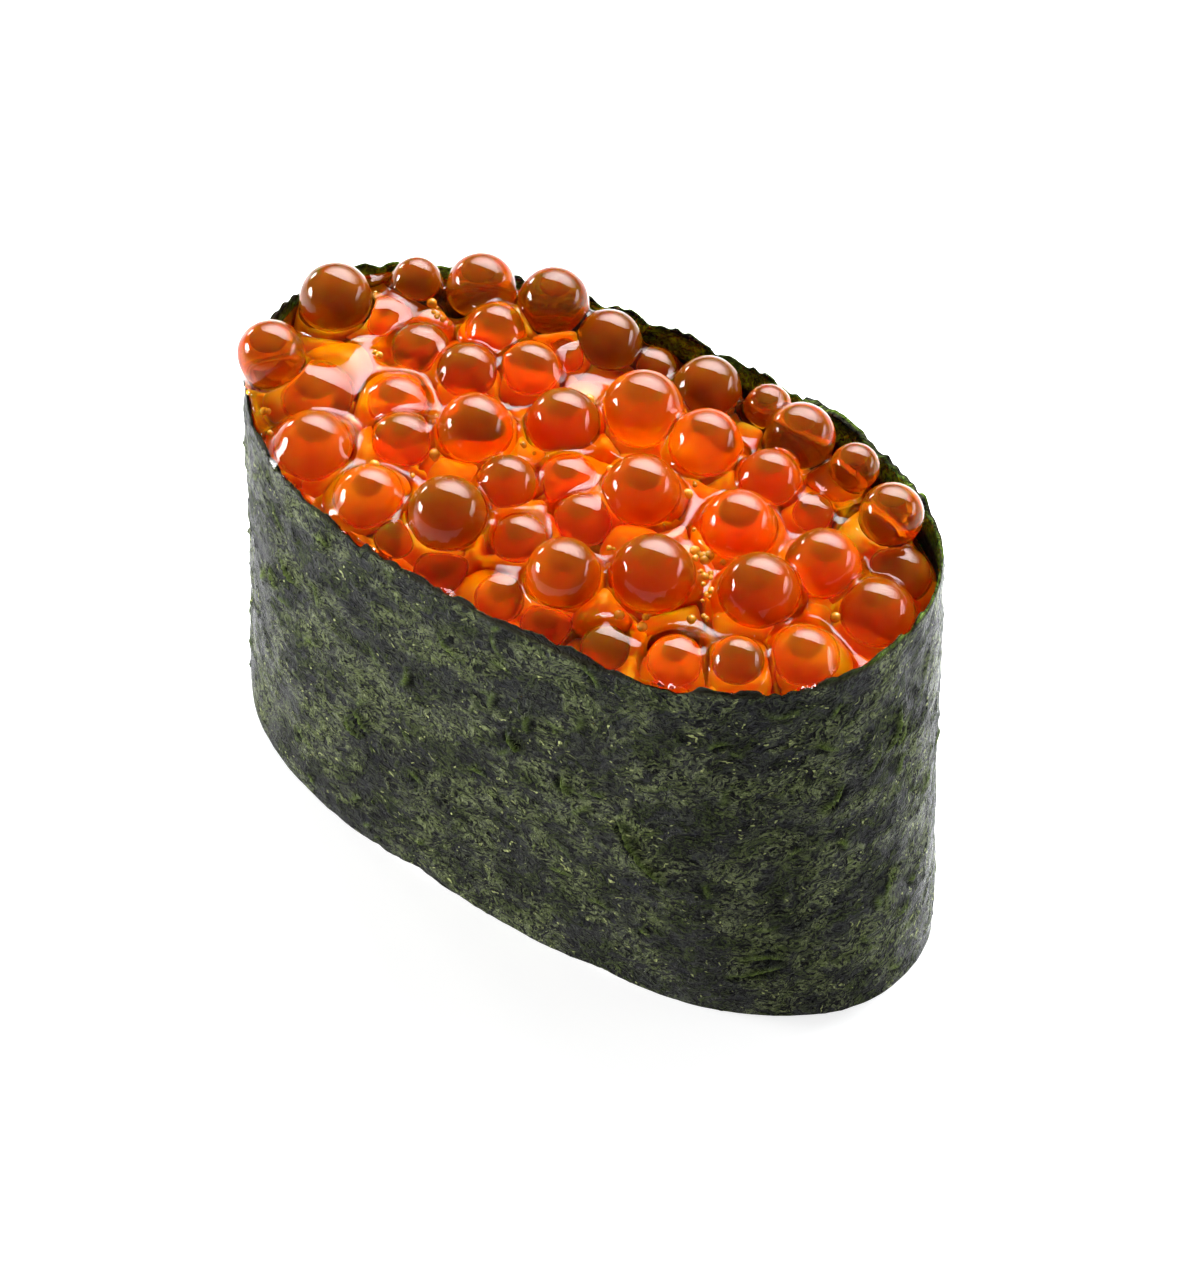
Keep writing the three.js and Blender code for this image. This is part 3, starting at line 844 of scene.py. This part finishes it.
class Graph:
    """One material's node tree. Each call adds a node and returns its output."""

    def __init__(self, name):
        self.material = bpy.data.materials.new(name)
        self.material.use_nodes = True
        self.tree = self.material.node_tree
        self.tree.nodes.clear()
        self.output = self.tree.nodes.new("ShaderNodeOutputMaterial")

    def add(self, kind, inputs=None, out=0, **settings):
        node = self.tree.nodes.new(kind)
        for key, value in settings.items():
            setattr(node, key, value)
        for key, value in (inputs or {}).items():
            self.feed(node.inputs[key], value)
        return node.outputs[out]

    def feed(self, socket, value):
        if isinstance(value, bpy.types.NodeSocket):
            self.tree.links.new(value, socket)
        else:
            socket.default_value = value

    def math(self, operation, a, b=0.0):
        return self.add("ShaderNodeMath", {0: a, 1: b}, operation=operation)

    def vector(self, operation, a, b):
        return self.add("ShaderNodeVectorMath", {0: a, 1: b}, operation=operation)

    def scaled(self, vector, factor):
        return self.add("ShaderNodeVectorMath", {0: vector, "Scale": factor}, operation="SCALE")

    def times(self, a, b):
        return self.math("MULTIPLY", a, b)

    def heaped(self, layers):
        """Sum of values, each times its own height."""
        total = 0.0
        for value, height in layers:
            total = self.math("ADD", self.times(value, height), total)
        return total

    def noise(self, vector, scale, detail=4.0, roughness=0.55, out="Fac"):
        inputs = {"Vector": vector, "Scale": scale, "Detail": detail, "Roughness": roughness}
        return self.add("ShaderNodeTexNoise", inputs, out)

    def step(self, value, low, high, to_low=0.0, to_high=1.0):
        """Eased change from one number to another as a value passes from low to high."""
        inputs = {"Value": value, "From Min": low, "From Max": high, "To Min": to_low, "To Max": to_high}
        return self.add("ShaderNodeMapRange", inputs, interpolation_type="SMOOTHSTEP")

    def ridge(self, value, power):
        """Thin lines where noise passes through its middle."""
        away = self.math("ABSOLUTE", self.math("SUBTRACT", value, 0.5))
        return self.math("POWER", self.math("SUBTRACT", 1.0, self.times(away, 2.0)), power)

    def mix(self, factor, a, b):
        return self.add("ShaderNodeMix", {"Factor": factor, 6: a, 7: b}, 2, data_type="RGBA")

    def surface(self, **inputs):
        named = {key.replace("_", " "): value for key, value in inputs.items()}
        self.feed(self.output.inputs["Surface"], self.add("ShaderNodeBsdfPrincipled", named))
        return self.material


def absorbing(name, loss, ior, clear=1.0, colour=(1, 1, 1)):
    """Wet matter that loses some of each colour per metre of light's way through it."""
    g = Graph(name)
    density = max(loss)
    kept = [1 - part / density * 0.999 for part in loss]
    volume = g.add("ShaderNodeVolumeAbsorption", {"Color": (*kept, 1), "Density": density})
    g.feed(g.output.inputs["Volume"], volume)
    return g.surface(
        Base_Color=(*colour, 1),
        Roughness=0.02,
        IOR=ior,
        Transmission_Weight=clear,
        Subsurface_Weight=1.0,
        Subsurface_Radius=(1.5, 0.5, 0.1),
        Subsurface_Scale=MM,
    )


def egg_materials():
    """One for each tint."""
    return [
        absorbing(f"roe_egg_{index}", loss, EGG_IOR, 1 - cloud, EGG_COLOUR)
        for index, (loss, cloud) in enumerate(EGG_TINTS)
    ]


def bed_material(name):
    """Eggs too deep in the liquid to be seen through."""
    g = Graph(name)
    place = g.add("ShaderNodeTexCoord", out="Object")
    noise = g.noise(place, 260.0, 3.0)
    colour = g.mix(g.step(noise, 0.35, 0.65), BED_COLOUR, PALE_BED_COLOUR)
    return g.surface(
        Base_Color=colour,
        Roughness=0.35,
        Subsurface_Weight=1.0,
        Subsurface_Radius=(4.0, 1.2, 0.2),
        Subsurface_Scale=MM,
    )


def oil_material():
    g = Graph("roe_oil")
    return g.surface(Base_Color=OIL_COLOUR, Roughness=0.3, IOR=1.0, Alpha=OIL_COVER)


def bubble_material():
    g = Graph("roe_bubble")
    return g.surface(
        Base_Color=BUBBLE_COLOUR,
        Roughness=0.0,
        IOR=BUBBLE_IOR,
        Transmission_Weight=BUBBLE_CLEARNESS,
    )


def bent_places(g, place):
    """Places on the strip, pushed about so that none of its marks runs straight."""
    bent = place
    for scale, detail, reach in NORI_BENDS:
        offset = g.vector("SUBTRACT", g.noise(place, scale, detail, out="Color"), (0.5, 0.5, 0.5))
        bent = g.vector("ADD", bent, g.scaled(offset, reach))
    return bent


def nori_inside(g, along, depth, where, fine):
    """Colour of the inner face: near black as painted shade, with a painted backlight glow, a green strip
    along the far side's rim where light would shine through the sheet.
    """
    away = g.math("ABSOLUTE", g.math("SUBTRACT", along, NEAR_SIDE))
    # painted backlight glow along the far side's rim
    backlit_strip = g.times(g.step(away, 0.2, 0.28), g.step(depth, 2.1, 1.3))
    backlit_strip = g.times(backlit_strip, g.step(where, 0, 1, 0.45, 1.0))
    backlight_colour = g.mix(g.step(fine, 0.35, 0.7), NORI_BACKLIGHT, NORI_PALE_BACKLIGHT)
    return g.mix(backlit_strip, NORI_INSIDE_SHADE, backlight_colour)


def nori_material():
    """The sheet's colours, sheen and fine relief, on its own UV map laid out in millimetres."""
    g = Graph("nori")
    wrap = g.add("ShaderNodeUVMap", uv_map="wrap")
    along = g.add("ShaderNodeSeparateXYZ", {"Vector": wrap}, "X")
    place = g.scaled(wrap, STRIP_LENGTH)
    height = g.add("ShaderNodeSeparateXYZ", {"Vector": place}, "Y")
    bent = bent_places(g, place)
    turn = {"Vector": bent, "Angle": FIBRE_HEADING}
    turned = g.add("ShaderNodeVectorRotate", turn, rotation_type="Z_AXIS")
    fibres = g.vector("MULTIPLY", turned, FIBRE_STRETCH)

    patch = g.step(g.noise(fibres, 0.62, 5.0, 0.62), 0.49, 0.56)
    veins = g.ridge(g.noise(fibres, 0.85, 3.0, 0.5), 14.0)
    threads = g.ridge(g.noise(g.vector("ADD", fibres, (40, 7, 0)), 1.6, 3.0, 0.5), 9.0)
    where = g.step(g.noise(place, 0.25, 3.0), 0.42, 0.60)
    fine = g.noise(fibres, 3.3, 4.0, 0.7)
    cells = g.add("ShaderNodeTexVoronoi", {"Vector": bent, "Scale": 1.3}, "Distance")
    ragged = g.math("ADD", cells, g.times(fine, 0.35))
    speck = g.times(g.step(ragged, 0.38, 0.29), g.step(g.noise(place, 0.35, 2.0), 0.46, 0.56))
    # Painted shade in the sheet's pits, which the bump also sinks
    pits_shade = g.step(g.noise(g.vector("ADD", fibres, (9, 60, 0)), 1.4, 3.0, 0.6), 0.63, 0.68)
    lip = g.add("ShaderNodeAttribute", out="Fac", attribute_name="lip")
    groove_shade = g.add("ShaderNodeAttribute", out="Fac", attribute_name="groove_shade")
    depth = g.math("SUBTRACT", height, BAND_HEIGHT)
    edge = g.step(g.math("ABSOLUTE", depth), 0.5, 0.1)

    layers = (
        (g.times(veins, g.step(where, 0, 1, 0.25, 0.85)), NORI_VEIN),
        (g.times(threads, g.step(where, 0, 1, 0.12, 0.80)), NORI_THREAD),
        (g.times(g.step(fine, 0.54, 0.66), g.step(patch, 0, 1, 0.10, 0.4)), NORI_VEIN),
        (g.step(fine, 0.51, 0.44), NORI_BLACK_AND_SHADE),
        (speck, NORI_SPECK),
        # painted shade in the pits
        (g.times(pits_shade, 0.95), NORI_BLACK_AND_SHADE),
        # painted highlight on the lips' ridges and painted shade in their trenches
        (g.times(lip, 0.75), NORI_LIP_HIGHLIGHT),
        (g.times(groove_shade, 0.95), NORI_BLACK_AND_SHADE),
        # the inner face, with its painted shade and painted backlight glow
        (g.step(depth, -0.05, 0.05), nori_inside(g, along, depth, where, fine)),
        (g.times(edge, 0.6), NORI_RIM),
    )
    # slate patches carry a painted bluish sheen as well as their own tone
    colour = g.mix(patch, NORI_SLATE_AND_SHEEN, NORI_OLIVE)
    for cover, layer_colour in layers:
        colour = g.mix(cover, colour, layer_colour)

    tone = g.math("ADD", g.step(patch, 0, 1, 0.24, 0.40), g.times(fine, 0.12))
    tone = g.math("MAXIMUM", tone, g.times(edge, 0.7))
    relief = g.heaped(((patch, 0.5), (veins, 0.7), (threads, 0.4), (fine, 1.1), (pits_shade, -1.0)))
    bump = g.add("ShaderNodeBump", {"Height": relief, "Strength": 1.0, "Distance": NORI_BUMP * MM})
    return g.surface(Base_Color=colour, Roughness=tone, IOR=NORI_IOR, Normal=bump)


def rice_material():
    g = Graph("rice")
    place = g.add("ShaderNodeTexCoord", out="Object")
    colour = g.mix(g.noise(place, 700.0, 3.0), RICE_COLOUR, PALE_RICE_COLOUR)
    return g.surface(
        Base_Color=colour,
        Roughness=0.32,
        Subsurface_Weight=0.35,
        Subsurface_Radius=(1.2, 1.0, 0.7),
        Subsurface_Scale=MM,
    )


def floor_material():
    g = Graph("floor")
    return g.surface(
        Base_Color=(0.50, 0.50, 0.50, 1),
        Roughness=0.25,
        IOR=2.2,
        Emission_Color=(1, 1, 1, 1),
        Emission_Strength=0.75,
    )


# ---- Camera, floor and light, in millimetres and degrees ----
CAMERA_AZIMUTH = 35.367
CAMERA_ELEVATION = 48.0
CAMERA_DISTANCE = 319.43
CAMERA_TARGET = Vector((0.19, -0.24, 15.0))
CAMERA_RIGHT = 0.693  # how far the view's middle lies right of the target
CAMERA_UP = 0.442
CAMERA_LENS = 139.8
SENSOR = 36.0
FLOOR_SIZE = 6.0  # metres, as are the lights' distance and lift
LIGHT_DISTANCE = 0.6
LIGHT_LIFT = 0.03
LIGHT_SPOT = (0.5, 0.75, 0.0)  # across and up, as shares of a softbox
LIGHT_FADE = (0.1, 0.65)  # from the spot, in the same shares, where the light begins and ends to fade
LIGHT_FADED = 0.05
# Softboxes: name, azimuth, elevation, spans across and up in degrees, radiance, colour
LIGHTS = (
    ("behind", 196, 34, (78, 56), 24.0, (0.95, 0.97, 1.0)),
    ("window", -64, 10, (28, 18), 80.0, (1, 1, 1)),
    ("left_edge", -106, 6, (14, 14), 40.0, (1, 1, 1)),
    ("right_edge", 132, 11, (48, 20), 12.0, (0.93, 0.96, 1.0)),
)
WORLD_STRENGTH = 0.12
SEEN_WORLD_STRENGTH = 0.95


def direction(azimuth, elevation):
    """Unit vector from the piece towards something seen at these angles, in degrees."""
    a, e = math.radians(azimuth), math.radians(elevation)
    return Vector((math.sin(a) * math.cos(e), -math.cos(a) * math.cos(e), math.sin(e)))


def make_camera():
    back = direction(CAMERA_AZIMUTH, CAMERA_ELEVATION)
    right = direction(CAMERA_AZIMUTH + 90, 0)
    up = back.cross(right)
    camera = bpy.data.objects.new("camera", bpy.data.cameras.new("camera"))
    bpy.context.scene.collection.objects.link(camera)
    place = CAMERA_TARGET + back * CAMERA_DISTANCE + right * CAMERA_RIGHT + up * CAMERA_UP
    camera.location = place * MM
    camera.rotation_mode = "QUATERNION"
    camera.rotation_quaternion = (-back).to_track_quat("-Z", "Y")
    camera.data.lens = CAMERA_LENS
    camera.data.sensor_width = SENSOR
    camera.data.clip_start = 0.01
    bpy.context.scene.camera = camera


def make_floor():
    bpy.ops.mesh.primitive_plane_add(size=FLOOR_SIZE, location=(0, 0, 0))
    floor = bpy.context.object
    floor.name = "floor"
    floor.data.materials.append(floor_material())


def make_light(name, azimuth, elevation, spans, radiance, colour):
    """A softbox that faces the piece, placed and sized by angles, that dims away from its hot spot."""
    away = direction(azimuth, elevation)
    data = bpy.data.lights.new(name, "AREA")
    data.shape = "ELLIPSE"
    data.size, data.size_y = [2 * LIGHT_DISTANCE * math.tan(math.radians(span / 2)) for span in spans]
    data.energy = radiance * math.pi * data.size * data.size_y * math.pi / 4
    data.color = colour
    data.use_nodes = True
    tree = data.node_tree
    across = tree.nodes.new("ShaderNodeNewGeometry").outputs["Parametric"]
    away_from_spot = tree.nodes.new("ShaderNodeVectorMath")
    away_from_spot.operation = "DISTANCE"
    away_from_spot.inputs[1].default_value = LIGHT_SPOT
    strength = tree.nodes.new("ShaderNodeMapRange")
    strength.interpolation_type = "SMOOTHSTEP"
    strength.inputs["From Min"].default_value, strength.inputs["From Max"].default_value = LIGHT_FADE
    strength.inputs["To Min"].default_value = 1.0
    strength.inputs["To Max"].default_value = LIGHT_FADED
    tree.links.new(across, away_from_spot.inputs[0])
    tree.links.new(away_from_spot.outputs["Value"], strength.inputs["Value"])
    tree.links.new(strength.outputs["Result"], tree.nodes["Emission"].inputs["Strength"])
    light = bpy.data.objects.new(name, data)
    bpy.context.scene.collection.objects.link(light)
    light.location = away * LIGHT_DISTANCE + Vector((0, 0, LIGHT_LIFT))
    light.rotation_mode = "QUATERNION"
    light.rotation_quaternion = (-away).to_track_quat("-Z", "Y")
    light.visible_camera = False


def make_world():
    """Dark surroundings that look pale where the camera sees them."""
    world = bpy.data.worlds.new("world")
    world.use_nodes = True
    tree = world.node_tree
    seen = tree.nodes.new("ShaderNodeLightPath").outputs["Is Camera Ray"]
    strength = tree.nodes.new("ShaderNodeMapRange")
    strength.inputs["To Min"].default_value = WORLD_STRENGTH
    strength.inputs["To Max"].default_value = SEEN_WORLD_STRENGTH
    tree.links.new(seen, strength.inputs["Value"])
    tree.links.new(strength.outputs["Result"], tree.nodes["Background"].inputs["Strength"])
    tree.nodes["Background"].inputs["Color"].default_value = (1, 1, 1, 1)
    bpy.context.scene.world = world


# ---- The piece ----


def dress(piece, node, slot, *materials):
    """Gives a piece its materials, hangs it under the root body and hides the node that it replaces. The
    slot is not used.
    """
    for material in materials:
        piece.data.materials.append(material)
    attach(piece, "root")
    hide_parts(node)


make_camera()
make_floor()
make_world()
for light in LIGHTS:
    make_light(*light)

roe_eggs = shown_eggs()
roe_heap = np.concatenate([roe_eggs, support_eggs(SUPPORT_DROP)])
roe_gap_eggs = sunken_eggs(roe_heap)
roe_sunken = np.concatenate([support_eggs(INNER_SUPPORT_DROP), roe_gap_eggs])
roe_all = np.concatenate([roe_heap, roe_gap_eggs])

dress(make_nori(), "nori", "nori", nori_material())
dress(make_skin(roe_all), "roe", "roe", absorbing("roe_liquid", LIQUID_LOSS, LIQUID_IOR))
dress(make_clear_eggs(roe_eggs), "roe", "roe", *egg_materials())
dress(make_inner_eggs("roe_sunken", roe_sunken, 3)[0], "roe", "roe", bed_material("roe_sunken"))
dress(make_droplets(roe_eggs), "roe", "roe", oil_material())
dress(make_bubbles(roe_all), "roe", "roe", bubble_material())
dress(make_bed(roe_all), "roe", "roe", bed_material("roe_bed"))
rice = rice_material()
dress(make_rice_core(), "rice", "rice", rice)
dress(make_grains(), "rice", "rice", rice)
bpy.context.scene.view_settings.view_transform = "Standard"
